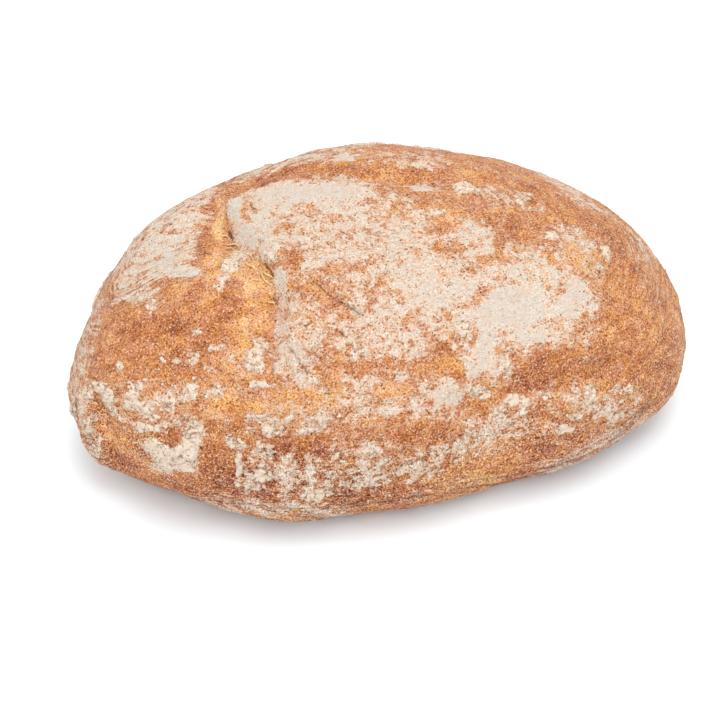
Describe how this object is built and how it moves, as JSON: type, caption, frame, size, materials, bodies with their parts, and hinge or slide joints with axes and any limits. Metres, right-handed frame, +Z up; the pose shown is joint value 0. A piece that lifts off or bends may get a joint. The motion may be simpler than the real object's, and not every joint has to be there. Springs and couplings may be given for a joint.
{
  "type": "rustic hearth bread loaf",
  "caption": "Whole oval hearth loaf: domed, flour-dusted golden-brown crust, burst seam and torn flap on top, flat underside.",
  "frame": {"origin": "on the table under the middle of the loaf's box", "axes": "+X along the loaf's length towards its broad end, +Z up from the flat base to the crown, -Y towards the slashed front"},
  "size_m": [0.2386, 0.1738, 0.091],
  "materials": {
    "crust": "baked bread crust, golden brown, unevenly dusted with white flour"
  },
  "bodies": {
    "root": {"loaf": "crust"}
  },
  "joints": []
}
